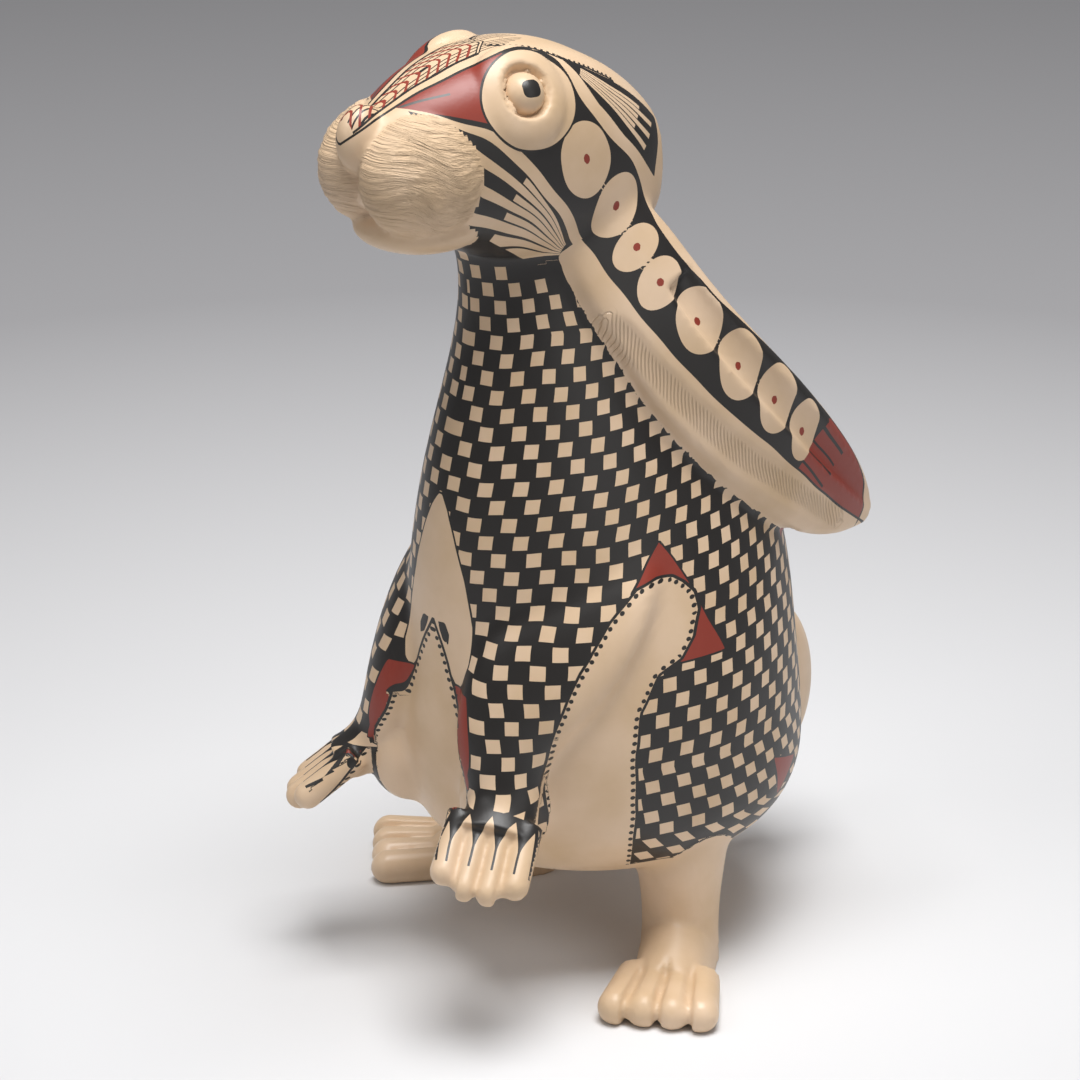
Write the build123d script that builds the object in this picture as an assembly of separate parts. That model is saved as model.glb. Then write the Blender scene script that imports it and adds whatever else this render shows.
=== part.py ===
"""A sitting hare effigy jar, hand built in thin fired clay and luted together from separately shaped pieces.

The hare sits up on its hind feet, faces -Y and has its left side at +X. Sizes are in millimetres, +Z is up.
The body is one hollow: a bowl pressed in a mould with a firing vent underneath, a coil-built wall above it,
and a head on the neck. Ears, eyes, cheeks, nose, lip, forelegs, hind legs and tail are shaped by hand and
stuck on with slip, so each of them ends where it meets the clay that carries it.
"""

import os
from math import cos, pi, radians, sin

from build123d import *

# Wider and taller than the whole figure
room = 400.0

# Clay
wall = 6.0
vent_radius = 7.0

# Torso: each station rises above the last one, and reaches this far forward, backward and to either side
keel_height = 34.5
keel_y = 33.0
belly_height = 86.0
belly_front, belly_back, belly_half_width = 48.0, 103.0, 64.0
chest_rise = 46.0
chest_front, chest_back, chest_half_width = 46.0, 99.0, 57.0
shoulder_rise = 33.0
shoulder_front, shoulder_back, shoulder_half_width = 44.0, 89.0, 47.0
collar_rise = 33.0
collar_front, collar_back, collar_half_width = 37.0, 62.0, 36.5
neck_rise = 32.0
neck_front, neck_back, neck_half_width = 30.0, 44.0, 27.0
nape_rise = 38.0
nape_front, nape_back, nape_half_width = 37.0, 42.0, 24.0
bowl_fullness = 3.3
bowl_shares = (0.98, 0.9, 0.75, 0.55, 0.3)
torso_squareness = 1.9
chest_height = belly_height + chest_rise
shoulder_height = chest_height + shoulder_rise
collar_height = shoulder_height + collar_rise
neck_height = collar_height + neck_rise
nape_height = neck_height + nape_rise

# Head, with heights counted from the nape
# The stations run back to front, and each is a place along Y, a top, a bottom and a half width
neck_seam = -19.0
occiput_y, occiput_top, occiput_bottom, occiput_half_width = 37.5, 29.0, -12.0, 17.5
crown_y, crown_top, crown_bottom, crown_half_width = 16.0, 46.0, -21.0, 26.0
eye_y, eye_top, eye_bottom, eye_half_width = -18.0, 55.5, -16.0, 29.0
brow_y, brow_top, brow_bottom, brow_half_width = -40.0, 52.5, -8.0, 26.0
snout_y, snout_top, snout_bottom, snout_half_width = -59.0, 44.5, 2.0, 18.0
muzzle_y, muzzle_top, muzzle_bottom, muzzle_half_width = -72.0, 37.5, 12.0, 9.5
head_squareness = 2.5

# Ears, laid back over the shoulders, with heights counted from the nape
# Centre, half width and half thickness, from the root to the tip
ear_path = (
    (14.0, -4.0, 8.0),
    (20.0, 9.0, -9.0),
    (29.5, 19.0, -28.0),
    (38.0, 35.0, -53.5),
    (41.5, 60.0, -81.0),
    (38.0, 91.0, -108.0),
    (34.0, 111.0, -122.0),
)
ear_half_widths = (13.0, 19.0, 20.5, 22.0, 22.4, 18.5, 11.0)
ear_half_thicknesses = (7.0, 8.0, 7.5, 7.0, 7.0, 6.5, 5.0)
ear_tip = (33.0, 120.0, -128.0)
ear_tip_half_width, ear_tip_half_thickness = 3.5, 3.0
ear_squareness = 2.6
furrow_start, furrow_half_width, furrow_depth = 2, 0.3, 3.4
furrow_place = -0.52

# Face, with heights counted from the nape
cheek_centre = (10.5, -54.0, 20.5)
cheek_radii = (16.0, 24.0, 20.5)
eye_centre = (23.3, -25.6, 43.7)
eye_outward = (0.86, -0.10, 0.50)
eye_mound_radius, eye_mound_half_height, eye_mound_rise = 17.0, 7.5, 3.0
socket_radius = 8.5
eyeball_radius, eyeball_rise = 7.0, 5.0
lip_centre = (0.0, -49.0, 1.5)
lip_radii = (21.0, 21.5, 8.5)
nose_centre = (0.0, -71.0, 32.0)
nose_radii = (7.0, 9.0, 11.0)

# Forelegs, with heights counted from the chest
# Centre, half width and half thickness, from the shoulder to the knuckles
foreleg_path = (
    (27.0, 2.0, 35.0),
    (34.0, -7.0, 18.0),
    (35.0, -21.0, -2.0),
    (31.0, -33.0, -20.0),
    (29.5, -39.5, -35.0),
    (33.0, -43.5, -50.0),
    (39.8, -54.2, -60.0),
)
foreleg_half_widths = (20.0, 23.0, 24.0, 21.0, 16.5, 12.5, 16.0)
foreleg_half_thicknesses = (5.0, 8.0, 10.5, 11.0, 10.5, 9.5, 7.5)
foreleg_face = (0.62, -0.74, 0.25)
web_centre = (25.0, -33.0, -56.0)
web_radii = (15.0, 19.0, 20.0)
finger_count = 4
finger_radius = 4.7
finger_length, finger_arch = 15.5, 4.5
finger_spread = 0.5
finger_root = 6.0

# Hind legs and feet: distance from the midline and place along Y. The right foot stands further out and back
left_ankle = (42.5, 27.5)
right_ankle = (51.0, 32.0)
thigh = (38.0, 27.5)
thigh_height, thigh_radius = 64.0, 22.0
shin_height, shin_radius, shin_share = 42.0, 16.2, 0.8
ankle_height, ankle_radius = 24.0, 13.6
foot_splay = 39.0
heel_reach, heel_half_width, heel_top = -14.0, 8.0, 11.0
instep_reach, instep_half_width, instep_top = 8.0, 13.5, 23.0
ball_reach, ball_half_width, ball_top = 30.0, 17.5, 12.5
toe_count = 4
toe_radius = 6.2
toe_length = 17.0
toe_spread = 3.0
sole_trim = 1.0

# Tail, with its height counted from the belly
tail_centre = (0.0, 103.0, -18.0)
tail_radii = (14.0, 23.0, 34.0)


def oval(centre, x_dir, z_dir, half_x, half_y, power=2.0, points=16):
    """A closed, smooth outline, with fuller corners when power is over 2."""
    plane = Plane(origin=centre, x_dir=x_dir, z_dir=z_dir)
    ring = []
    for k in range(points):
        angle = 2 * pi * k / points + pi / 2
        c, s = cos(angle), sin(angle)
        x = half_x * abs(c) ** (2 / power) * (1 if c >= 0 else -1)
        y = half_y * abs(s) ** (2 / power) * (1 if s >= 0 else -1)
        ring.append(plane.from_local_coords((x, y, 0)))
    return Face(Wire([Edge.make_spline(ring, periodic=True)]))


def egg(centre, radii):
    """An ellipsoid."""
    return Pos(*centre) * scale(Sphere(1), by=radii)


def rod(start, reach, radius):
    """A round rod with a round end."""
    shaft = Plane(origin=start, z_dir=reach.normalized()) * Cylinder(
        radius, reach.length, align=(Align.CENTER, Align.CENTER, Align.MIN)
    )
    return shaft + Pos(start + reach) * Sphere(radius)


def fan(count):
    """Places from -1 to 1 across a paw."""
    return [2 * k / (count - 1) - 1 for k in range(count)]


def limb(path, half_widths, half_thicknesses, face, power=2.0):
    """A hand-rolled piece that follows a path, with its broad side turned to face."""
    sections = []
    for k, centre in enumerate(path):
        along = path[min(k + 1, len(path) - 1)] - path[max(k - 1, 0)]
        sections.append(oval(centre, face.cross(along), along, half_widths[k], half_thicknesses[k], power))
    return loft(sections)


def torso_form(inset=0.0):
    """The pear-shaped torso as a solid, drawn in by inset all round."""
    belly_y = (belly_back - belly_front) / 2
    belly_half_depth = (belly_back + belly_front) / 2
    depth = belly_height - keel_height - inset
    stations = []
    for share in bowl_shares:
        across = (1 - share**bowl_fullness) ** (1 / bowl_fullness)
        y = belly_y + (keel_y - belly_y) * share
        half_width, half_depth = (belly_half_width - inset) * across, (belly_half_depth - inset) * across
        stations.append((belly_height - depth * share, y, half_width, half_depth))
    for height, front, back, half_width in (
        (belly_height, belly_front, belly_back, belly_half_width),
        (chest_height, chest_front, chest_back, chest_half_width),
        (shoulder_height, shoulder_front, shoulder_back, shoulder_half_width),
        (collar_height, collar_front, collar_back, collar_half_width),
        (neck_height, neck_front, neck_back, neck_half_width),
        (nape_height, nape_front, nape_back, nape_half_width),
    ):
        stations.append((height, (back - front) / 2, half_width - inset, (back + front) / 2 - inset))
    return loft([oval((0, y, z), (1, 0, 0), (0, 0, 1), a, b, torso_squareness) for z, y, a, b in stations])


def head_form(inset=0.0):
    """The blunt wedge of the head, lying along Y."""
    sections = []
    for y, top, bottom, half_width in (
        (occiput_y - inset, occiput_top, occiput_bottom, occiput_half_width),
        (crown_y, crown_top, crown_bottom, crown_half_width),
        (eye_y, eye_top, eye_bottom, eye_half_width),
        (brow_y, brow_top, brow_bottom, brow_half_width),
        (snout_y, snout_top, snout_bottom, snout_half_width),
        (muzzle_y + inset, muzzle_top, muzzle_bottom, muzzle_half_width),
    ):
        centre, half_height = (0, y, (top + bottom) / 2), (top - bottom) / 2
        sections.append(
            oval(centre, (1, 0, 0), (0, -1, 0), half_width - inset, half_height - inset, head_squareness)
        )
    return loft(sections)


def ear_form():
    """The left ear: a long blade with a furrow scooped along its lower edge."""
    path = [Vector(*point) for point in (*ear_path, ear_tip)]
    face = Vector(1, 0, 0)
    widths = (*ear_half_widths, ear_tip_half_width)
    thicknesses = (*ear_half_thicknesses, ear_tip_half_thickness)
    blade = limb(path, widths, thicknesses, face, ear_squareness)
    furrow = []
    for k in range(furrow_start, len(path)):
        along = path[min(k + 1, len(path) - 1)] - path[k - 1]
        upward = along.cross(face).normalized()
        centre = path[k] + upward * widths[k] * furrow_place + face * thicknesses[k]
        depth = furrow_depth * widths[k] / max(widths)
        furrow.append(oval(centre, upward, along, widths[k] * furrow_half_width, depth))
    return blade - loft(furrow)


def foreleg_form():
    """The left foreleg: a fin that grows out of the chest, webbed to the belly, with four fingers."""
    path = [Vector(*point) for point in foreleg_path]
    face = Vector(*foreleg_face)
    leg = limb(path, foreleg_half_widths, foreleg_half_thicknesses, face)
    along = (path[-1] - path[-2]).normalized()
    across = face.cross(along).normalized()
    for place in fan(finger_count):
        root = path[-1] + across * place * (foreleg_half_widths[-1] - finger_radius) - along * finger_root
        length = finger_root + finger_length + finger_arch * (1 - place**2)
        reach = along * length + across * place * finger_spread
        leg += rod(root, reach, finger_radius)
    return leg + egg(web_centre, web_radii)


def hind_leg_form(ankle_place):
    """A left hind leg: a shin, and a foot splayed outwards with a flat sole and four toes."""
    turn = radians(foot_splay)
    ahead, across = Vector(sin(turn), -cos(turn), 0), Vector(cos(turn), sin(turn), 0)
    ankle = Vector(*ankle_place, 0)
    slant = ankle - Vector(*thigh, 0)
    shin = loft(
        [
            Plane(origin=ankle - slant * (1 - share) + Vector(0, 0, height)) * Circle(radius)
            for height, radius, share in (
                (thigh_height, thigh_radius, 0.0),
                (shin_height, shin_radius, shin_share),
                (ankle_height, ankle_radius, 1.0),
                (toe_radius, ankle_radius, 1.0),
            )
        ]
    )
    foot = loft(
        [
            oval(ankle + ahead * reach, across, ahead, half_width, top)
            for reach, half_width, top in (
                (heel_reach, heel_half_width, heel_top),
                (0.0, ankle_radius, ankle_height),
                (instep_reach, instep_half_width, instep_top),
                (ball_reach, ball_half_width, ball_top),
            )
        ]
    )
    leg = shin + foot
    for place in fan(toe_count):
        root = ankle + ahead * ball_reach + across * place * (ball_half_width - toe_radius)
        root = root - ahead * toe_radius + Vector(0, 0, toe_radius - sole_trim)
        leg += rod(root, ahead * (toe_length + toe_radius) + across * place * toe_spread, toe_radius)
    above_ground = Box(room, room, thigh_height, align=(Align.CENTER, Align.CENTER, Align.MIN))
    return leg & above_ground


def slab(bottom, top):
    """Everything between two heights."""
    return Pos(0, 0, bottom) * Box(room, room, top - bottom, align=(Align.CENTER, Align.CENTER, Align.MIN))


def effigy():
    """All pieces by name, around a midline at X = 0."""
    on_belly, on_chest, on_nape = (Pos(0, 0, height) for height in (belly_height, chest_height, nape_height))
    body = torso_form() + on_nape * head_form()
    shell = body - (torso_form(wall) + on_nape * head_form(wall))
    neck_seam_height = nape_height + neck_seam
    vent = Pos(0, keel_y, keel_height) * Cylinder(vent_radius, 4 * wall)
    pieces = {
        "vessel_base": (shell & slab(0, belly_height)) - vent,
        "vessel_wall": shell & slab(belly_height, neck_seam_height),
        "head_shell": shell & slab(neck_seam_height, room),
    }
    outward = Vector(*eye_outward).normalized()
    eye_plane = Plane(origin=Vector(*eye_centre) + Vector(0, 0, nape_height), z_dir=outward)
    mound_radii = (eye_mound_radius, eye_mound_radius, eye_mound_half_height)
    mound = eye_plane * egg((0, 0, eye_mound_rise - eye_mound_half_height), mound_radii)
    socket = eye_plane * Cylinder(socket_radius, 2 * eye_mound_radius)
    ball = eye_plane * Pos(0, 0, eyeball_rise - eyeball_radius) * Sphere(eyeball_radius)
    left_side = Box(room, room, 2 * room, align=(Align.MIN, Align.CENTER, Align.CENTER))
    nose = on_nape * egg(nose_centre, nose_radii) - body
    pieces["nose"] = nose
    pieces["tail"] = on_belly * egg(tail_centre, tail_radii) - body
    left_forms = {
        "cheek": (on_nape * egg(cheek_centre, cheek_radii) & left_side) - nose,
        "eye_socket": mound - socket,
        "eyeball": ball,
        "ear": on_nape * ear_form(),
        "foreleg": on_chest * foreleg_form(),
    }
    for name, form in left_forms.items():
        pieces[f"{name}_left"] = form - body
        pieces[f"{name}_right"] = mirror(form, about=Plane.YZ) - body
    pieces["hind_leg_left"] = hind_leg_form(left_ankle) - body
    pieces["hind_leg_right"] = mirror(hind_leg_form(right_ankle), about=Plane.YZ) - body
    lip = on_nape * egg(lip_centre, lip_radii)
    pieces["lower_lip"] = lip - body - pieces["cheek_left"] - pieces["cheek_right"]
    return pieces


# The origin is on the ground, half way between the toes to either side and between nose and tail
pieces = effigy()
middle_x = (pieces["hind_leg_left"].bounding_box().max.X + pieces["hind_leg_right"].bounding_box().min.X) / 2
middle_y = (nose_centre[1] - nose_radii[1] + tail_centre[1] + tail_radii[1]) / 2

os.makedirs("parts", exist_ok=True)
for name, piece in pieces.items():
    export_step(Pos(-middle_x, -middle_y, 0) * piece, f"parts/{name}.step")
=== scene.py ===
from math import cos, pi, radians, sin

import bpy
import numpy as np
from mathutils import Matrix, Vector
from mathutils.bvhtree import BVHTree


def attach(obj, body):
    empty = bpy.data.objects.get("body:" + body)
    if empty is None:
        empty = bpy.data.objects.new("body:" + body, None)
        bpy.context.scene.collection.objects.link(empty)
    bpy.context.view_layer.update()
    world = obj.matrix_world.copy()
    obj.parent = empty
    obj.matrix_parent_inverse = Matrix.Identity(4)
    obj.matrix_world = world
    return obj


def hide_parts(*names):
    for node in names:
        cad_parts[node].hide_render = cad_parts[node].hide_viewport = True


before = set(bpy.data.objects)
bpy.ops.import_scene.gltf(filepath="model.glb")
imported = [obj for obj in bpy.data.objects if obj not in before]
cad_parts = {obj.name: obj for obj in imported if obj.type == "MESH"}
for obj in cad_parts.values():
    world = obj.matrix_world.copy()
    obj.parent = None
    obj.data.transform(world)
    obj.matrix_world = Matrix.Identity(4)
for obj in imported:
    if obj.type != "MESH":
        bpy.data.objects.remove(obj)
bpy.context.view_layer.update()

print("frame loaded,", len(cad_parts), "nodes")

# The hare's own coordinates are mm from its midline, facing -Y; its origin lies here in the frame
hareOrigin = np.array([4.25, -23.0, 0.0])
nodeNames = sorted(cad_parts)


def toLinear(hexColour):
    values = [int(hexColour[k:k + 2], 16) / 255 for k in (1, 3, 5)]
    return [v / 12.92 if v <= 0.04045 else ((v + 0.055) / 1.055) ** 2.4 for v in values] + [1.0]


def smoothStep(low, high, value):
    t = np.clip((value - low) / (high - low), 0, 1)
    return t * t * (3 - 2 * t)


# ---- clay skin: all pieces are joined, smoothed where they are luted together, and parted again
skin = {
    "voxel": 1.1,          # mm between points on the clay
    "quickVoxel": 2.4,
    "evenPasses": 6,       # takes out the voxel steps
    "lutePasses": 30,      # smooths the clay over the joins
    "luteRings": 8,        # how far from a join that reaches, in points
    "shell": 2.0,          # mm, thickness of each piece's shell
    "plugRadius": 9.0,     # closes the vent while the clay is smoothed
    "ventRadius": 7.0,
    "ventCentre": (0.0, 33.0),
}
sharpJoins = ("cheek", "nose", "eye", "lower_lip")     # these joins keep a crease


def meshArrays(mesh):
    points = np.empty(len(mesh.vertices) * 3)
    mesh.vertices.foreach_get("co", points)
    mesh.calc_loop_triangles()
    corners = np.empty(len(mesh.loop_triangles) * 3, np.int32)
    mesh.loop_triangles.foreach_get("vertices", corners)
    return points.reshape(-1, 3) * 1000 - hareOrigin, corners.reshape(-1, 3)


def joinedClay():
    points, corners, owners, count = [], [], [], 0
    for index, name in enumerate(nodeNames):
        p, c = meshArrays(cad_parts[name].data)
        points.append(p)
        corners.append(c + count)
        owners.append(np.full(len(c), index))
        count += len(p)
    return np.concatenate(points), np.concatenate(corners), np.concatenate(owners)


def plug():
    around = [2 * pi * k / 24 for k in range(24)]
    x, y = skin["ventCentre"]
    ring = [(x + skin["plugRadius"] * cos(a), y + skin["plugRadius"] * sin(a)) for a in around]
    points = [(*p, 36.0) for p in ring] + [(*p, 46.0) for p in ring] + [(x, y, 36.0), (x, y, 46.0)]
    corners = []
    for k in range(24):
        m = (k + 1) % 24
        corners += [(k, m, m + 24), (k, m + 24, k + 24), (m, k, 48), (k + 24, m + 24, 49)]
    return np.array(points), np.array(corners)


def voxelSkin(points, corners, voxel):
    mesh = bpy.data.meshes.new("joinedClay")
    mesh.from_pydata((points / 1000).tolist(), [], corners.tolist())
    clay = bpy.data.objects.new("joinedClay", mesh)
    bpy.context.scene.collection.objects.link(clay)
    modifier = clay.modifiers.new("voxels", "REMESH")
    modifier.mode = "VOXEL"
    modifier.voxel_size = voxel / 1000
    graph = bpy.context.evaluated_depsgraph_get()
    made = bpy.data.meshes.new_from_object(clay.evaluated_get(graph))
    bpy.data.objects.remove(clay)
    out = np.empty(len(made.vertices) * 3)
    made.vertices.foreach_get("co", out)
    faces = np.array([tuple(p.vertices) for p in made.polygons if len(p.vertices) == 4])
    return out.reshape(-1, 3) * 1000, faces


def edgesOf(faces):
    pairs = np.concatenate([faces[:, [k, (k + 1) % 4]] for k in range(4)])
    return np.unique(np.sort(pairs, axis=1), axis=0)


def outerPart(points, faces):
    edges = edgesOf(faces)
    reached = np.zeros(len(points), bool)
    reached[np.argmax(points[:, 2])] = True
    while True:
        grown = reached.copy()
        grown[edges[reached[edges[:, 0]], 1]] = True
        grown[edges[reached[edges[:, 1]], 0]] = True
        if grown.sum() == reached.sum():
            break
        reached = grown
    kept = np.cumsum(reached) - 1
    return points[reached], kept[faces[reached[faces[:, 0]]]]


def neighbourMean(points, edges):
    total = np.zeros_like(points)
    degree = np.bincount(edges.ravel(), minlength=len(points))
    for k in range(points.shape[1]):
        total[:, k] = np.bincount(edges[:, 0], points[edges[:, 1], k], len(points))
        total[:, k] += np.bincount(edges[:, 1], points[edges[:, 0], k], len(points))
    return total / np.maximum(degree, 1)[:, None]


def normalsOf(points, faces):
    across = np.cross(points[faces[:, 2]] - points[faces[:, 0]], points[faces[:, 3]] - points[faces[:, 1]])
    total = np.zeros_like(points)
    for k in range(4):
        for axis in range(3):
            total[:, axis] += np.bincount(faces[:, k], across[:, axis], len(points))
    return total / np.maximum(np.linalg.norm(total, axis=1), 1e-9)[:, None]


cadPoints, cadCorners, cadOwners = joinedClay()
plugPoints, plugCorners = plug()
voxel = skin["voxel"]
clay, quads = voxelSkin(
    np.concatenate([cadPoints, plugPoints]), np.concatenate([cadCorners, plugCorners + len(cadPoints)]), voxel
)
clay, quads = outerPart(clay, quads)
edges = edgesOf(quads)
print("clay joined,", len(clay), "points")

tree = BVHTree.FromPolygons(cadPoints.tolist(), cadCorners.tolist())
middles = clay[quads].mean(axis=1)
label = np.array([cadOwners[tree.find_nearest(Vector(p))[2]] for p in middles])
for side in ("left", "right"):                      # the ball is a piece of its own, so its clay goes to the rim
    label[label == nodeNames.index("eyeball_" + side)] = nodeNames.index("eye_socket_" + side)

for step in range(skin["evenPasses"]):
    for pull in (0.5, -0.52):
        clay = clay + pull * (neighbourMean(clay, edges) - clay)

isSharp = np.array([name.startswith(sharpJoins) for name in nodeNames])
least = np.full(len(clay), 99)
most = np.full(len(clay), -1)
for k in range(4):
    np.minimum.at(least, quads[:, k], label)
    np.maximum.at(most, quads[:, k], label)
atJoin = (least != most) & ~isSharp[least] & ~isSharp[most]
near = atJoin.astype(float)
for ring in range(1, skin["luteRings"]):
    grown = near.copy()
    value = 1 - ring / skin["luteRings"]
    for a, b in ((0, 1), (1, 0)):
        np.maximum.at(grown, edges[:, b], np.where(near[edges[:, a]] > value, value, 0))
    near = grown
for step in range(skin["lutePasses"]):
    clay = clay + 0.5 * near[:, None] * (neighbourMean(clay, edges) - clay)
clay[:, 2] = np.maximum(clay[:, 2], 0)
normals = normalsOf(clay, quads)
pointLabel = most
print("joins smoothed,", int(atJoin.sum()), "points on them")

# ---- where the painting lies: every field is in mm on the clay, so brushed edges stay sharp
hand = {"stray": 0.16, "slow": 0.11, "quick": 0.43}       # how far the brush strays, in mm, and how often
side = np.where(clay[:, 0] >= 0, 1.0, -1.0)
away = np.abs(clay[:, 0])                                 # both sides are painted alike
spot = np.stack([away, clay[:, 1], clay[:, 2]], 1)
for axis in range(3):
    a, b = spot[:, (axis + 1) % 3], spot[:, (axis + 2) % 3]
    spot[:, axis] += hand["stray"] * (np.sin(hand["quick"] * a + axis) + 2 * np.sin(hand["slow"] * (a + b) + 2 * axis))
x, y, z = spot.T


def smoothCurve(points, perSpan=8):
    p = np.array(points, float)
    out, last = [], len(p) - 1
    for k in range(last):
        a, b, c, d = [p[min(max(k + m, 0), last)] for m in (-1, 0, 1, 2)]
        for t in np.arange(perSpan) / perSpan:
            out.append(0.5 * (2 * b + (c - a) * t + (2 * a - 5 * b + 4 * c - d) * t**2 + (3 * b - 3 * c + d - a) * t**3))
    return np.array([*out, p[-1]])


def fromCurve(curve, across, up):
    # distance from a curve, positive on the left of the way it runs, and length along it
    curve, here = np.array(curve, float), np.stack([across, up], 1)
    best, along, sign, start = np.full(len(here), 1e9), np.zeros(len(here)), np.ones(len(here)), 0.0
    for a, b in zip(curve[:-1], curve[1:]):
        length = np.linalg.norm(b - a)
        t = np.clip(((here - a) @ (b - a)) / length**2, 0, 1)
        gap = here - a - t[:, None] * (b - a)
        distance = np.linalg.norm(gap, axis=1)
        closer = distance < best
        best = np.where(closer, distance, best)
        along = np.where(closer, start + t * length, along)
        sign = np.where(closer, np.sign((b - a)[0] * gap[:, 1] - (b - a)[1] * gap[:, 0]), sign)
        start += length
    return best * sign, along


def zone(points, across, up):
    # distance to a closed outline, positive inside it, and length along it
    curve = np.array([*points, points[0]], float)
    best, along = fromCurve(curve, across, up)
    inside = np.zeros(len(across), bool)
    for a, b in zip(curve[:-1], curve[1:]):
        if a[1] != b[1]:
            meets = (b[0] - a[0]) * (up - a[1]) / (b[1] - a[1]) + a[0]
            inside ^= ((a[1] > up) != (b[1] > up)) & (across < meets)
    return np.where(inside, 1, -1) * np.abs(best), along


def share(*starts):
    # how far a point belongs to these pieces, 0 to 1, so that an edge of paint on a join is smooth
    own = np.array([name.startswith(starts) for name in nodeNames])[label].astype(float)
    total = sum(np.bincount(quads[:, k], own, len(clay)) for k in range(4))
    value = total / np.maximum(np.bincount(quads.ravel(), minlength=len(clay)), 1)
    for step in range(4):
        value = 0.5 * (value + neighbourMean(value[:, None], edges)[:, 0])
    return value


# half width, front and back of the torso at each height, as it was built up
torso = {
    "height": (34, 48, 60, 86, 132, 165, 198, 230, 268),
    "front": (-20, -36, -44, -48, -46, -44, -37, -30, -37),
    "back": (60, 88, 97, 103, 99, 89, 62, 44, 42),
    "halfWidth": (20, 50, 58, 64, 57, 47, 36.5, 27, 24),
}
checks = {
    "pitch": 5.75,          # mm, one square
    "lean": 0.17,           # how far the columns run forward as they go down
    "rise": 0.05,           # how far the rows climb towards the back
    "narrow": 0.22,         # how much narrower the columns are at the neck
    "halfWide": 0.415,      # half of a pale square, as a share of the pitch
    "halfHigh": 0.39,
    "top": 241.5, "topRise": 0.4,       # the checks end here on the neck, higher towards the throat
    "hem": 47.0,
}
halfWidth, front, back = (np.interp(z, torso["height"], torso[k]) for k in ("halfWidth", "front", "back"))
halfDepth, ahead = (back - front) / 2, (front + back) / 2 - y
turn = np.arctan2(away / halfWidth, ahead / halfDepth)
arc = np.zeros(len(clay))
for k in range(32):
    a = turn * (k + 0.5) / 32
    arc += np.hypot(halfWidth * np.cos(a), halfDepth * np.sin(a)) * turn / 32
proud = (np.hypot(away / halfWidth, ahead / halfDepth) - 1) * (halfWidth + halfDepth) / 2

# the flat of the foreleg: across it, and up
onForeleg = share("foreleg")
across = 0.77 * x + 0.64 * y
arc = arc + smoothStep(3, 14, proud) * (across + 29.4 - arc)
arc = arc * (1 + checks["narrow"] * smoothStep(180, 255, z))
checkU = arc
checkV = z - checks["rise"] * (y + 45)

outlines = {     # across the foreleg and up: the bare belly and flank, and the painted face of the foreleg
    "bare": (
        (36, 20), (36.2, 46), (38.6, 58), (39.9, 71), (39.6, 93), (40.7, 107), (46.4, 118.5), (52.5, 122.5),
        (55.6, 129), (56.3, 137), (54.6, 143), (51.4, 146.5), (47.8, 149), (43, 149.8), (37.7, 148.2), (30.6, 139.6),
        (22.2, 124.4), (16.4, 109), (12.5, 98), (10, 88), (8, 76), (-11, 76), (-15, 92), (-17.6, 101), (-20.9, 112),
        (-23.4, 120), (-29.6, 134), (-70, 135), (-70, 20),
    ),
    "foreleg": (
        (37.7, 148.2), (30.6, 139.6), (22.2, 124.4), (16.4, 109), (12.5, 98), (10, 88), (10, 81), (11.3, 73), (11.3, 40),
        (-20, 40), (-20, 72), (-15.4, 83), (-15.6, 92), (-17.6, 101), (-20.9, 112), (-23.4, 120), (-29.6, 134),
        (-32, 165), (20, 175),
    ),
}
outward = normals[:, 0] * side
faceOut = 0.62 * outward - 0.74 * normals[:, 1]
bodyBare, bodyAlong = zone(outlines["bare"], across, z)
legPaint, legAlong = zone(outlines["foreleg"], across, z)
# the inner side of the foreleg, seen from the other forequarter: its bare clay ends at this line
innerLine = {"height": (60.9, 70.6, 81.3, 96.2, 114.4, 135.5), "out": (75.2, 66.9, 58.5, 51.4, 45.4, 38.3)}
innerBare = 0.88 * (np.interp(z, innerLine["height"], innerLine["out"]) - 0.643 * x + 0.766 * y)
isInner = (y < 0) & (z < 102) & ((x < 24) | (faceOut < 0.2) & (onForeleg > 0.5))
bare = np.where((onForeleg > 0.5) & (z < 102), -legPaint, bodyBare)
bareAlong = np.where((onForeleg > 0.5) & (z < 102), legAlong, bodyAlong)
bare = np.where(isInner, innerBare, bare)
bareAlong = np.where(isInner, 1.2 * z, bareAlong)
bare = np.where(onForeleg > 0.5, bare, np.maximum(bare, checks["hem"] - z))
bare = np.maximum(bare, (share("hind_leg") - 0.15) * 12)

lens, _ = zone(
    ((-3, 178), (1.5, 177), (4.5, 172.5), (7.7, 165), (12.5, 151), (16.3, 135), (17.1, 122), (15.6, 115.5), (13.6, 113.4),
     (11, 114), (8, 118), (-3, 118)),
    x, z,
)
lens = np.where((y < 0) & (faceOut > -0.5), lens, -20)
vLine, _ = fromCurve(((-29.6, 134), (-23.4, 120), (-20.9, 112), (-17.6, 101), (-15.6, 92), (-15.4, 83), (-20, 72)), across, z)
reach = 0.15 * np.clip(z - 80, 0, 34)
red = np.minimum(np.abs(vLine), 0.6 + reach - np.abs(vLine))
red = np.where((z < 104) & (isInner | (x < 27)), np.maximum(red, np.minimum(-innerBare, 0.6 + reach + innerBare)), red)
red = np.where((bare < 0) & (y < 0) & (z > 78), np.minimum(red, 113.6 - z), -20)
bows, _ = zone(((2.2, 133.5), (5.5, 133.8), (7.6, 130), (7.4, 126.5), (5, 127.5), (3.4, 130.5)), x, z)
triangles = (
    ((11, 160.5), (-3.5, 147), (10, 146), (19.5, 145.5)), ((21, 140.5), (30, 122.2), (11, 121.5), (14, 131)),
    ((54, 74.5), (72.5, 67), (61, 57)), ((71, 154), (84, 150), (77, 142)),
)
for corners in triangles:
    red = np.maximum(red, np.where(x > 28, zone(corners, y, z)[0], -20))

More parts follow.
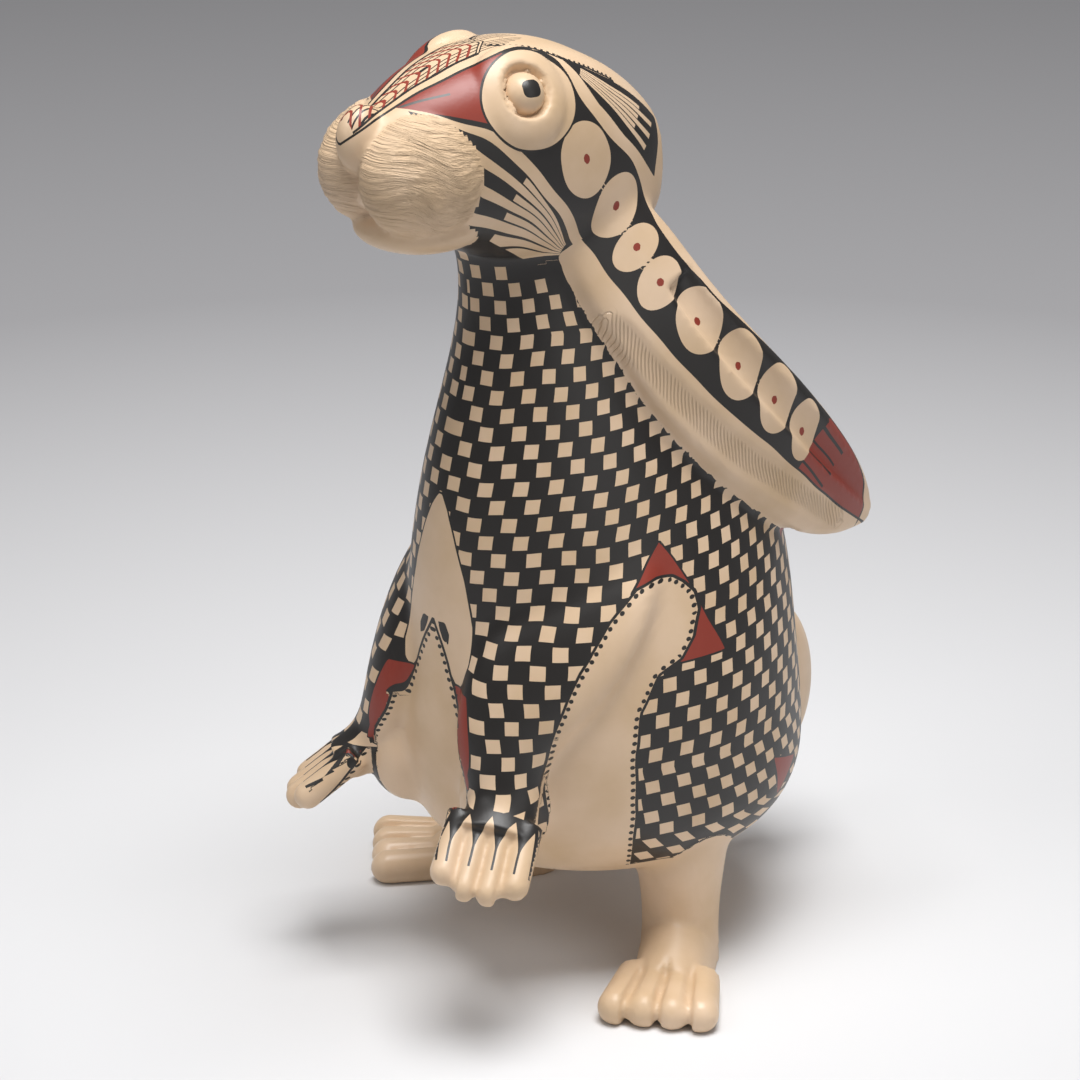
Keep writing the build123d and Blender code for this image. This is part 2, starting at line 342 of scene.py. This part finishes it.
# paws: three pale leaves between dark wedges that run out to the fingertips
paw = {"knuckles": (39.8, -54.2, 72.0), "wrist": (33.0, -43.5, 82.0), "pitch": 7.53, "tip": -5.0, "reach": 11.0, "end": 13.5}
knuckles = np.array(paw["knuckles"])
down = knuckles - np.array(paw["wrist"])
down = down / np.linalg.norm(down)
sideways = np.cross(np.array([0.62, -0.74, 0.25]), down)
sideways = sideways / np.linalg.norm(sideways)
pawAlong = np.where((onForeleg > 0.5) & (z < 92), (spot - knuckles) @ down, -60)
pawAcross = (spot - knuckles) @ sideways

# the head and ears, seen square to the eye: s along the head, t up and inwards
eye = {
    "centre": (23.3, -25.6, 311.7), "outward": (0.86, -0.10, 0.50),
    "discCentre": (-5.9, 254.4), "discLong": 17.1, "discHigh": 15.4,
    "groove": 8.1, "grooveWidth": 0.9, "grooveDepth": 2.6,
    "ball": 7.0, "ballRise": 5.0, "pupil": 3.1,
}
eyeCentre = np.array(eye["centre"])
eyeOut = np.array(eye["outward"]) / np.linalg.norm(eye["outward"])
squareToEye = np.array([(0.086, 0.99, 0.05), (-0.5, 0.0, 0.86)])
s, t = squareToEye @ spot.T
fromEye = spot - eyeCentre
eyeHeight = fromEye @ eyeOut
eyeRadius = np.linalg.norm(fromEye - eyeHeight[:, None] * eyeOut, axis=1) + np.where(np.abs(eyeHeight) > 14, 99, 0)
offCentre = np.hypot((s - eye["discCentre"][0]) / eye["discLong"], (t - eye["discCentre"][1]) / eye["discHigh"])
disc = (1 - offCentre) * (eye["discLong"] + eye["discHigh"]) / 2

ovals = (     # middle on the clay in mm, the short and the long half, and which way the short one points in degrees
    ((28.6, -5.2, 288.6), 10.6, 10.8, 0), ((26.4, 9.4, 270.5), 7.9, 10.8, -58), ((30.9, 14.5, 256.7), 6.3, 9.6, -66),
    ((36.3, 20.2, 244.5), 7.2, 9.8, -57), ((39.3, 33.5, 229.4), 9.8, 10.8, -18), ((43.5, 47.7, 212.7), 9.6, 11.5, -18),
    ((45.2, 63.3, 197.5), 8.8, 11.3, -20), ((44.9, 77.1, 183.0), 7.0, 10.0, -24),
)
oval, dot = np.full(len(clay), -20.0), np.full(len(clay), -20.0)
for middle, short, long, angle in ovals:
    ms, mt = squareToEye @ np.array(middle)
    c, d = cos(radians(angle)), sin(radians(angle))
    along, beside = (s - ms) * c + (t - mt) * d, (t - mt) * c - (s - ms) * d
    oval = np.maximum(oval, (1 - np.hypot(along / short, beside / long)) * (short + long) / 2)
    dot = np.maximum(dot, 1.45 - np.hypot(along * 1.1, beside))

# over runs along the top of the dark band from the snout to the ear's tip, under along its bottom
over, _ = fromCurve(smoothCurve((
    (-66, 258), (-57, 260), (-46.7, 263.1), (-37.1, 265.8), (-23.9, 268.8), (-12.8, 270.4), (-3, 270.9), (5, 269.4),
    (9.3, 265.8), (10.9, 259.9), (13.6, 250.1), (22.1, 239.2), (33, 229.8), (38.3, 220), (40.2, 209), (46, 197.4),
    (58, 181.6), (71.8, 168.1), (88.6, 151.8), (101, 140), (113.5, 129), (122, 118), (125, 108.5), (121.5, 101.5),
)), s, t)
under, _ = fromCurve(smoothCurve((
    (-66, 268), (-54, 265.5), (-46.7, 263.1), (-33, 252.5), (-23.6, 246.8), (-14.8, 238.7), (-5.5, 228), (3, 220),
    (12.5, 209), (18.3, 196), (27.7, 178.3), (39, 162.3), (52.1, 148.2), (67, 135.6), (84.3, 121.9), (100, 111.5),
    (114.5, 104), (126, 99),
)), s, t)
underWidth = np.interp(s, (-47, -33, -15, 5, 17), (0.3, 0.95, 1.9, 1.6, 1.6))
overWidth = np.interp(s, (9, 22, 38), (2.2, 3.7, 3.0))
crown, crownAlong = zone(
    ((11, 267.5), (20.5, 261), (29.7, 257.1), (40, 251), (50.4, 243.9), (48.4, 235.5), (45, 225), (29.9, 238.5),
     (20.6, 248.7), (15, 260.3)), s, t)
tick, tickAlong = fromCurve(((-9, 276.4), (4.6, 270.8), (13.3, 264.6), (29.7, 257.6), (50.4, 243.9)), s, t)
faceRed, _ = zone(
    ((-46.7, 263.1), (-37.1, 265.8), (-23.9, 268.8), (-10, 270.5), (-12, 247), (-22.3, 249.9), (-27.7, 252.6), (-37.9, 257.4)),
    s, t)
whisker, whiskerAlong = fromCurve(((-45, 262.6), (-22, 262.4)), s, t)
brow, _ = fromCurve(smoothCurve(((-74, 256), (-58.8, 260.6), (-45.4, 265.6), (-33.6, 269.2), (-21.4, 272.2), (-10.8, 273.8), (0, 275))), s, t)
tipFrom, _ = fromCurve(((101, 135.2), (84.4, 122.5)), s, t)
furrow, furrowAlong = fromCurve(smoothCurve((
    (15.5, 186), (27.3, 166.7), (41.8, 149.6), (60.3, 133), (84.3, 116.9), (109.7, 104.5))), s, t)

fans = {       # stepped rays: where they meet, the angles between which they lie, and how far they reach
    "cheek": {"meet": (9.96, 207.9), "from": 132.0, "to": 167.0, "start": 5.0, "reach": 60.0, "step": 33.0, "rays": 4},
    "crown": {"meet": (8.0, 267.3), "from": -31.0, "to": -48.0, "start": 12.0, "reach": 46.0, "step": 38.5, "rays": 3},
}
fields = {}
for name, fan in fans.items():
    ds, dt = s - fan["meet"][0], t - fan["meet"][1]
    fields[name + "Turn"] = (np.degrees(np.arctan2(dt, ds)) - fan["from"]) / (fan["to"] - fan["from"]) * fan["rays"]
    fields[name + "Reach"] = np.hypot(ds, dt)

onEar = share("ear")
checkTop = np.where(onEar > 0.5, -9, 243 - 0.62 * np.clip(y, -45, 12) - z)
fields.update({
    "checkU": checkU, "checkV": checkV, "checkTop": checkTop, "bare": bare, "bareAlong": bareAlong, "lens": lens,
    "red": red, "bows": bows, "pawAlong": pawAlong, "pawAcross": pawAcross, "disc": disc, "oval": oval, "dot": dot,
    "over": over, "under": under, "underWidth": underWidth, "overWidth": overWidth, "crown": crown, "tick": tick,
    "tickAlong": tickAlong, "faceRed": faceRed, "whisker": whisker, "whiskerAlong": whiskerAlong, "brow": brow,
    "tipFrom": tipFrom, "alongHead": s, "fromMiddle": x, "alongY": y, "upZ": z, "outward": outward,
    "onEar": onEar, "onForeleg": onForeleg, "onCheek": share("cheek"),
})
print("painting laid out,", len(fields), "fields")

# ---- what is carved: the eye's groove, the hair of the cheeks, the ear's furrow and the gaps between the toes
carving = {
    "hairDepth": 0.3, "hairPitch": 3.4, "fineDepth": 0.8, "finePitch": 1.1, "fineLength": 9.0,
    "furrowHalf": 3.6, "strokePitch": 1.9, "strokeDepth": 0.3, "channelHalf": 4.8, "channelDepth": 1.3,
    "toeGap": 1.5, "toeGapWidth": 1.1, "toeRoot": 24.0, "fingerGap": 1.2,
}
feet = {"turn": 39.0, 1: (42.5, 27.5), -1: (51.0, 32.0), "pitch": 8.6}
isCheek, isEye, isLeg, isPaw = (
    np.array([name.startswith(start) for name in nodeNames])[pointLabel] for start in ("cheek", "eye", "hind_leg", "foreleg")
)
flow = z + 0.22 * (y + 54) + 1.3 * np.sin(0.2 * y + 0.5 * np.sin(0.21 * z)) + 0.5 * np.sin(0.47 * y + 0.31 * z)
strands = np.sin(2 * pi * flow / carving["hairPitch"] + 1.8 * np.sin(0.3 * y - 0.2 * z)) * np.sin(0.23 * y + 0.9 * z)
depth = np.where(isCheek, -carving["hairDepth"] * strands * smoothStep(0.5, 0.95, fields["onCheek"]), 0)
hole = 1 - smoothStep(eye["groove"] - eye["grooveWidth"], eye["groove"] + eye["grooveWidth"], eyeRadius)
rimHeight = eyeHeight[isEye & (eyeRadius > 9.5) & (eyeRadius < 10.5)].mean()
sink = (rimHeight - eye["grooveDepth"] * hole - eyeHeight) * (1 - smoothStep(8.9, 10.2, eyeRadius)) * isEye
channel = np.clip(1 - (furrow / carving["channelHalf"]) ** 2, 0, 1) * (onEar > 0.5) * (outward > 0.1)
channel = channel * smoothStep(0, 8, furrowAlong) * smoothStep(0, 8, furrowAlong.max() - furrowAlong)
depth = depth - carving["channelDepth"] * channel
splay = radians(feet["turn"])
for direction in (1, -1):
    ax, ay = feet[direction]
    dx, dy = clay[:, 0] * direction - ax, clay[:, 1] - ay
    forward, beside = dx * sin(splay) - dy * cos(splay), dx * cos(splay) + dy * sin(splay)
    spread = feet["pitch"] * (1 + 0.012 * (forward - 30))
    gap = np.abs((beside / spread + 0.5) % 1 - 0.5) * spread
    gap = np.where(np.abs(beside) < 1.45 * spread, gap, 9)
    own = isLeg & (clay[:, 0] * direction > 0) & (clay[:, 2] < 22)
    carve = np.exp(-((gap / carving["toeGapWidth"]) ** 2)) * smoothStep(carving["toeRoot"], carving["toeRoot"] + 8, forward)
    depth = depth - np.where(own, carving["toeGap"] * carve, 0)
gap = np.abs((pawAcross / paw["pitch"] + 0.5) % 1 - 0.5) * paw["pitch"]
gap = np.where(np.abs(pawAcross) < 1.5 * paw["pitch"], gap, 9)
carve = np.exp(-(gap**2)) * smoothStep(-1, 5, pawAlong)
depth = depth - np.where(isPaw, carving["fingerGap"] * carve, 0)
clay = clay + normals * depth[:, None] + np.stack([side * sink, sink, sink], 1) * eyeOut
normals = normalsOf(clay, quads)
inFurrow = smoothStep(0, 1.2, carving["furrowHalf"] - np.abs(furrow)) * (onEar > 0.5) * (outward > 0.1)
fields.update({"flow": flow, "strokes": furrowAlong + 1.1 * furrow, "inFurrow": inFurrow})
print("carving done")


# ---- clays and slips
paints = {
    "clay": "#DCC0A2",        # burnished cream body
    "deepClayAndGrooveShade": "#CDAF8B",    # where less slip was rubbed in, and painted shade in the carved hair and strokes
    "black": "#262321",       # manganese and iron slip
    "red": "#8A3527",         # red ochre slip
    "burnish": 0.06,          # how much the polishing strokes vary the sheen
    "cloud": 26.0,            # mm, size of the clouds in the clay's colour
    "grain": 1.5,             # mm, size of the clay's grain
    "line": 0.36,             # mm, half of a brushed line
    "tickPitch": 2.8,         # mm from one tick to the next
    "tick": 0.72,             # mm, half of a tick
}


def add(material, kind, inputs=(), output=0, **settings):
    # one node with its settings; an input is a number, a colour or another node's output
    made = material.node_tree.nodes.new(kind)
    for key, value in settings.items():
        setattr(made, key, value)
    for slot, source in (inputs if isinstance(inputs, dict) else dict(enumerate(inputs))).items():
        source = getattr(source, "socket", source)
        if isinstance(source, bpy.types.NodeSocket):
            material.node_tree.links.new(source, made.inputs[slot])
        else:
            made.inputs[slot].default_value = source
    return Value(material, made.outputs[output]) if made.outputs else None


class Value:
    # a number worked out in a material: a sum written with it becomes nodes there
    def __init__(self, material, socket):
        self.material, self.socket = material, socket

    def step(self, operation, *others):
        return add(self.material, "ShaderNodeMath", [self, *others], operation=operation)

    def __add__(self, other):
        return self.step("ADD", other)

    def __sub__(self, other):
        return self.step("SUBTRACT", other)

    def __mul__(self, other):
        return self.step("MULTIPLY", other)

    def __truediv__(self, other):
        return self.step("DIVIDE", other)

    def __pow__(self, other):
        return self.step("POWER", other)

    def __mod__(self, other):
        return self.step("FLOORED_MODULO", other)

    def __gt__(self, other):
        return self.step("GREATER_THAN", other)

    def __lt__(self, other):
        return self.step("LESS_THAN", other)

    def __and__(self, other):
        return self.step("MINIMUM", other)

    def __or__(self, other):
        return self.step("MAXIMUM", other)

    def __abs__(self):
        return self.step("ABSOLUTE")

    def __invert__(self):
        return self < 0.5

    def fract(self):
        return self.step("FRACT")

    def floor(self):
        return self.step("FLOOR")


def brush(mask, under, coat):
    # one coat over what is under it, where the mask is 1
    coat = toLinear(coat) if isinstance(coat, str) else coat
    return add(mask.material, "ShaderNodeMix", {0: mask, 6: under, 7: coat}, output=2, data_type="RGBA")


def clayMaterial(name, paint=None, roughness=0.40, carved=None):
    material = bpy.data.materials.new(name)
    material.use_nodes = True
    material.node_tree.nodes.clear()
    field = lambda name: add(material, "ShaderNodeAttribute", output=2, attribute_name=name)
    place = add(material, "ShaderNodeNewGeometry")
    cloud = add(material, "ShaderNodeTexNoise", {"Vector": place, "Scale": 1000 / paints["cloud"], "Detail": 4.0})
    grain = add(material, "ShaderNodeTexNoise", {"Vector": place, "Scale": 1000 / paints["grain"], "Detail": 3.0})
    tint = add(material, "ShaderNodeMapRange", {0: cloud, 1: 0.35, 2: 0.72})
    colour = brush(tint, toLinear(paints["clay"]), paints["deepClayAndGrooveShade"])
    height = grain * 0.03
    if carved:
        height, grooveShade = carved(field, height)
        # painted shade: the carved hollows are darkened with the deeper clay colour
        colour = brush(grooveShade * 0.35, colour, paints["deepClayAndGrooveShade"])
    if paint:
        colour = paint(field, colour)
    sheen = add(material, "ShaderNodeMapRange", {
        0: cloud, 1: 0.3, 2: 0.7, 3: roughness - paints["burnish"], 4: roughness + paints["burnish"],
    })
    bump = add(material, "ShaderNodeBump", {"Strength": 1.0, "Distance": 0.001, "Height": height})
    shader = add(material, "ShaderNodeBsdfPrincipled", {"Base Color": colour, "Roughness": sheen, "IOR": 1.5, "Normal": bump})
    add(material, "ShaderNodeOutputMaterial", {"Surface": shader})
    return material


def combed(field, height):
    # fine hair combed into the damp cheeks; its strands also mark where painted shade darkens the clay
    hair = add(height.material, "ShaderNodeCombineXYZ", [field("flow") / carving["finePitch"], field("alongY") / carving["fineLength"]])
    strand = add(height.material, "ShaderNodeTexNoise", {"Vector": hair, "Scale": 1.0, "Detail": 3.0, "Roughness": 0.7})
    strand = ((strand - 0.5) * 2.2 | -1) & 1
    return height - strand * carving["fineDepth"] * field("onCheek"), abs(strand)


def stroked(field, height):
    # short slanting strokes in the ear's furrow, which also mark where painted shade darkens the clay
    wave = add(height.material, "ShaderNodeMath", [field("strokes") * (2 * pi / carving["strokePitch"])], operation="SINE")
    stroke = ((wave | 0) ** 2) * field("inFurrow")
    return height - stroke * carving["strokeDepth"], stroke


def bodyPaint(field, bareClay):
    pitch, line = checks["pitch"], paints["line"]
    row = field("checkV") / pitch
    rowMiddle = (row.floor() + 0.5) * pitch
    column = (field("checkU") - rowMiddle * checks["lean"]) / pitch      # each row steps forward, its squares stay upright
    bare, along = field("bare"), field("pawAlong")
    pale = (column.floor() + row.floor()) % 2 < 0.5
    pale = pale & (abs(column.fract() - 0.5) < checks["halfWide"]) & (abs(row.fract() - 0.5) < checks["halfHigh"])
    paint = brush(bare > -999, bareClay, paints["black"])
    columnMiddle = (column.floor() + 0.5) * pitch & 0
    onNeck = columnMiddle * checks["topRise"] + rowMiddle < checks["top"]
    paint = brush(pale & onNeck & (along < paw["tip"] - 1), paint, bareClay)
    paint = brush(field("lens") > -line, paint, paints["black"])
    paint = brush(field("lens") > line, paint, bareClay)
    paint = brush(field("bows") > 0, paint, paints["black"])
    paint = brush(field("red") > -2 * line, paint, paints["black"])
    paint = brush(field("red") > 0, paint, paints["red"])
    wedge = ((((along - paw["tip"]) / paw["reach"] | 0) & 1) - 1) * -1
    wedge = wedge ** 1.4 * (paw["pitch"] / 2) + 0.4
    finger = (field("pawAcross") + paw["pitch"] / 2) % paw["pitch"]
    finger = abs(abs(finger - paw["pitch"] / 2) - paw["pitch"] / 2)
    leaf = (finger > wedge) | (along > paw["end"])
    paint = brush(leaf & (along > paw["tip"]), paint, bareClay)
    paint = brush(bare > 0, paint, bareClay)
    border = abs(bare) < 1.3 * line
    off = (field("bareAlong") / paints["tickPitch"]).fract() - 0.5
    ticks = (off * paints["tickPitch"]) ** 2 + (bare - 1.2) ** 2 < paints["tick"] ** 2
    onEdge = (field("upZ") > checks["hem"]) & (along < paw["end"]) & (field("upZ") < 170)
    return brush((border | ticks) & onEdge, paint, paints["black"])


def headPaint(field, bareClay):
    line, along, over, under, ear = paints["line"], field("alongHead"), field("over"), field("under"), field("onEar") > 0.5
    middle, front = field("fromMiddle"), field("alongY")
    paint = brush(over > -999, bareClay, paints["black"])
    # stepped rays behind the cheek, and the pale band between them and the dark band
    for name, zone in (("cheek", under < field("underWidth") * -1 - 0.5), ("crown", field("crown") > 0.5)):
        fan = fans[name]
        turn, reach = field(name + "Turn"), field(name + "Reach")
        part = turn.fract()
        short = (part > 0.08) & (part < 0.44) & (reach < fan["step"])
        long = (part > 0.53) & (part < 0.94)
        inside = (turn > 0) & (turn < fan["rays"]) & (reach > fan["start"]) & (reach < fan["reach"])
        rays = (short | long) & inside & zone
        paint = brush(rays, paint, bareClay) if name == "cheek" else paint
    paint = brush((abs(under) < field("underWidth")) & (along < 60), paint, bareClay)
    paint = brush((along < -44) | ((front < -46) & (under < 0)) & (field("upZ") < 277), paint, bareClay)
    paint = brush(ear & (under < field("underWidth")), paint, bareClay)
    # the ovals with their dots and the red tip
    paint = brush(field("oval") > 0, paint, bareClay)
    paint = brush(field("dot") > 0, paint, paints["red"])
    tip = field("tipFrom")
    inBand = ear & (under > field("underWidth"))
    paint = brush(inBand & (tip > 0), paint, paints["red"])
    stroke = abs((over + 2.5) % 5 - 2.5) < 0.45
    paint = brush(inBand & (tip > 0) & stroke & (tip < 14) & (over < -2), paint, paints["black"])
    # the face's red triangle, then all that is pale above the dark band
    red = field("faceRed")
    paint = brush(red > 0, paint, paints["red"])
    paint = brush((abs(field("whisker")) < 0.4) & (field("whiskerAlong") < 14) & (red > 0), paint, "#4A4442")
    paint = brush((over > 0) | (ear & (field("outward") < -0.15)), paint, bareClay)
    paint = brush((abs(over) < line) | ((abs(under - field("underWidth")) < line) & ear), paint, paints["black"])
    # the crown's dark wedge with its rays, and the ticks along its top
    crown = field("crown")
    paint = brush((crown > 0) & ~ear, paint, paints["black"])
    paint = brush(rays & ~ear, paint, bareClay)
    tick = field("tick")
    off = (field("tickAlong") / 1.9).fract() - 0.5
    edge = (abs(tick) < line) | ((abs(off) < 0.22) & (tick > 0) & (tick < 1.1))
    paint = brush(edge & (along > -8) & (along < 32) & ~ear, paint, paints["black"])
    # the net over the snout, closed by a double line, and the fine hatching behind it
    brow, behind = field("brow"), front + middle * 1.1 + 24
    snout = (brow > 0) & (front > -78) & ~ear
    hatch = snout & (behind > 1.6) & (behind < 17) & ((middle / 1.25).fract() < 0.3)
    paint = brush(hatch, paint, paints["black"])
    fine = snout & (behind < 0) & (((middle + 0.3) / 1.6).fract() < 0.3)
    paint = brush(fine, paint, paints["black"])
    bars = snout & (behind < 0) & ((behind / 4.3).fract() < 0.28)
    paint = brush(bars, paint, paints["red"])
    double = snout & ((abs(behind) < line) | (abs(behind - 1.5) < line))
    rim = (abs(brow) < line) & (front > -78) & (behind < 1.6) & ~ear
    paint = brush(double | rim, paint, paints["black"])
    # the pale disc round the eye
    paint = brush(field("disc") > -0.7, paint, paints["black"])
    return brush(field("disc") > 0, paint, bareClay)


def potPaint(field, bareClay):
    # one pot: the body's painting below the jaw, the head's above it and on the ears
    return brush(field("checkTop") > 0, headPaint(field, bareClay), bodyPaint(field, bareClay))


bareClay = clayMaterial("burnishedBareClay")                                       # stone-polished cream clay, a soft sheen
combedClay = clayMaterial("combedUnpolishedClay", roughness=0.62, carved=combed)   # the hair was never polished
paintedClay = clayMaterial("slipPaintedClay", potPaint, carved=stroked)            # slips brushed on, then burnished
materialOf = {
    "vessel": paintedClay, "foreleg": paintedClay, "head": paintedClay, "ear": paintedClay, "eye_socket": paintedClay,
    "nose": paintedClay, "cheek": combedClay, "lower_lip": bareClay, "hind_leg": bareClay, "tail": bareClay,
}
print("clays and slips mixed")


# ---- the pieces, parted again: each is a closed shell with the skin's own shading at its edges
def partPiece(name):
    own = quads[label == nodeNames.index(name)]
    if name == "vessel_base":
        cx, cy = skin["ventCentre"]
        middle = clay[own].mean(axis=1)
        own = own[~((np.hypot(middle[:, 0] - cx, middle[:, 1] - cy) < skin["ventRadius"]) & (middle[:, 2] < 60))]
    used, corners = np.unique(own, return_inverse=True)
    corners = corners.reshape(-1, 4)
    outer, out = clay[used], normals[used]
    count = len(used)
    pairs = np.concatenate([corners[:, [k, (k + 1) % 4]] for k in range(4)])
    keys = pairs[:, 0] * count + pairs[:, 1]
    back = pairs[:, 1] * count + pairs[:, 0]
    rim = pairs[~np.isin(back, keys)]
    inner = outer - out * skin["shell"]
    walls = np.stack([rim[:, 1], rim[:, 0], rim[:, 0] + count, rim[:, 1] + count], 1)
    faces = np.concatenate([corners, corners[:, ::-1] + count, walls])
    mesh = bpy.data.meshes.new(name + "_clay")
    mesh.from_pydata(((np.concatenate([outer, inner]) + hareOrigin) / 1000).tolist(), [], faces.tolist())
    for key, values in fields.items():
        layer = mesh.attributes.new(key, "FLOAT", "POINT")
        layer.data.foreach_set("value", np.tile(values[used], 2).astype(np.float32))
    mesh.polygons.foreach_set("use_smooth", np.ones(len(mesh.polygons), bool))
    mesh.normals_split_custom_set_from_vertices(np.concatenate([out, -out]).tolist())
    piece = bpy.data.objects.new(name + "_clay", mesh)
    bpy.context.scene.collection.objects.link(piece)
    for start, material in materialOf.items():
        if name.startswith(start):
            mesh.materials.append(material)
            break
    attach(piece, "root")
    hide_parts(name)


for name in nodeNames:
    if not name.startswith("eyeball"):
        partPiece(name)
print("pieces parted")


# ---- eyeballs: a ball with a painted pupil, set in its groove
def pupilPaint(field, bareClay):
    return brush(field("pupil") < 1, bareClay, paints["black"])


ballClay = clayMaterial("burnishedEyeball", pupilPaint, roughness=0.36)
for direction, name in ((1, "left"), (-1, "right")):
    outwards = eyeOut * np.array([direction, 1, 1])
    centre = eyeCentre * np.array([direction, 1, 1]) + outwards * (eye["ballRise"] - eye["ball"])
    bpy.ops.mesh.primitive_uv_sphere_add(segments=64, ring_count=40, radius=eye["ball"] / 1000, location=(0, 0, 0))
    ball = bpy.context.object
    ball.name = "eyeball_" + name + "_clay"
    turnTo = Vector(outwards).to_track_quat("Z", "Y").to_matrix().to_4x4()
    local = np.empty(len(ball.data.vertices) * 3)
    ball.data.vertices.foreach_get("co", local)
    local = local.reshape(-1, 3) * 1000
    pupil = ((np.abs(local[:, 0]) / eye["pupil"]) ** 3 + (np.abs(local[:, 1]) / (eye["pupil"] * 0.92)) ** 3) ** (1 / 3)
    layer = ball.data.attributes.new("pupil", "FLOAT", "POINT")
    layer.data.foreach_set("value", np.where(local[:, 2] > 0, pupil, 9).astype(np.float32))
    ball.data.transform(turnTo)
    ball.data.transform(Matrix.Translation(Vector((centre + hareOrigin) / 1000)))
    ball.data.polygons.foreach_set("use_smooth", np.ones(len(ball.data.polygons), bool))
    ball.data.materials.append(ballClay)
    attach(ball, "root")
    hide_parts("eyeball_" + name)
print("eyes set")

# ---- floor, backdrop, lamps and camera
studio = {
    "near": "#DEDEDF", "far": "#A4A3A5", "fadeFrom": 0.05, "fadeTo": 0.75,     # painted shade: the paper's colour darkens with distance, in metres
    "key": 4.6, "fill": 3.6, "top": 43.0, "world": 0.24,
}
bpy.ops.mesh.primitive_plane_add(size=6, location=(0, 0, 0))
floor = bpy.context.object
floor.name = "studioFloor"
paper = bpy.data.materials.new("matteBackdropPaper")
paper.use_nodes = True
paper.node_tree.nodes.clear()
place = add(paper, "ShaderNodeNewGeometry")
far = add(paper, "ShaderNodeVectorMath", [place], output=1, operation="LENGTH")
fade = add(paper, "ShaderNodeMapRange", {0: far, 1: studio["fadeFrom"], 2: studio["fadeTo"]})
# painted shade: the paper is coloured darker away from the figure, as if less lit
paperShade = brush(fade, toLinear(studio["near"]), studio["far"])
add(paper, "ShaderNodeOutputMaterial", {"Surface": add(paper, "ShaderNodeBsdfPrincipled", {"Base Color": paperShade, "Roughness": 0.9})})
floor.data.materials.append(paper)

world = bpy.data.worlds.new("studio")
bpy.context.scene.world = world
world.use_nodes = True
world.node_tree.nodes["Background"].inputs[0].default_value = (0.8, 0.8, 0.82, 1)
world.node_tree.nodes["Background"].inputs[1].default_value = studio["world"]


def lamp(name, place, power, size):
    light = bpy.data.lights.new(name, "AREA")
    light.energy, light.size = power, size
    made = bpy.data.objects.new(name, light)
    bpy.context.scene.collection.objects.link(made)
    made.location = place
    made.rotation_euler = (Vector((0, 0, 0.16)) - Vector(place)).to_track_quat("-Z", "Y").to_euler()


lamp("keySoftbox", (-0.35, -1.4, 1.45), studio["key"], 0.8)
lamp("fillSoftbox", (1.6, 0.1, 0.7), studio["fill"], 1.2)
lamp("topSoftbox", (0.25, -0.1, 1.9), studio["top"], 1.0)

view = {"azimuth": 50, "elevation": 21.5, "distance": 1.15, "lens": 114.43}
target = (np.array([0, 0, 150.0]) + hareOrigin) / 1000
a, e = radians(view["azimuth"]), radians(view["elevation"])
back = Vector((sin(a) * cos(e), -cos(a) * cos(e), sin(e)))
camera = bpy.data.objects.new("camera", bpy.data.cameras.new("camera"))
bpy.context.scene.collection.objects.link(camera)
camera.location = Vector(target) + back * view["distance"]
camera.rotation_euler = (-back).to_track_quat("-Z", "Y").to_euler()
camera.data.lens, camera.data.sensor_width = view["lens"], 36
bpy.context.scene.camera = camera
bpy.context.scene.view_settings.view_transform = "Standard"
print("studio set")
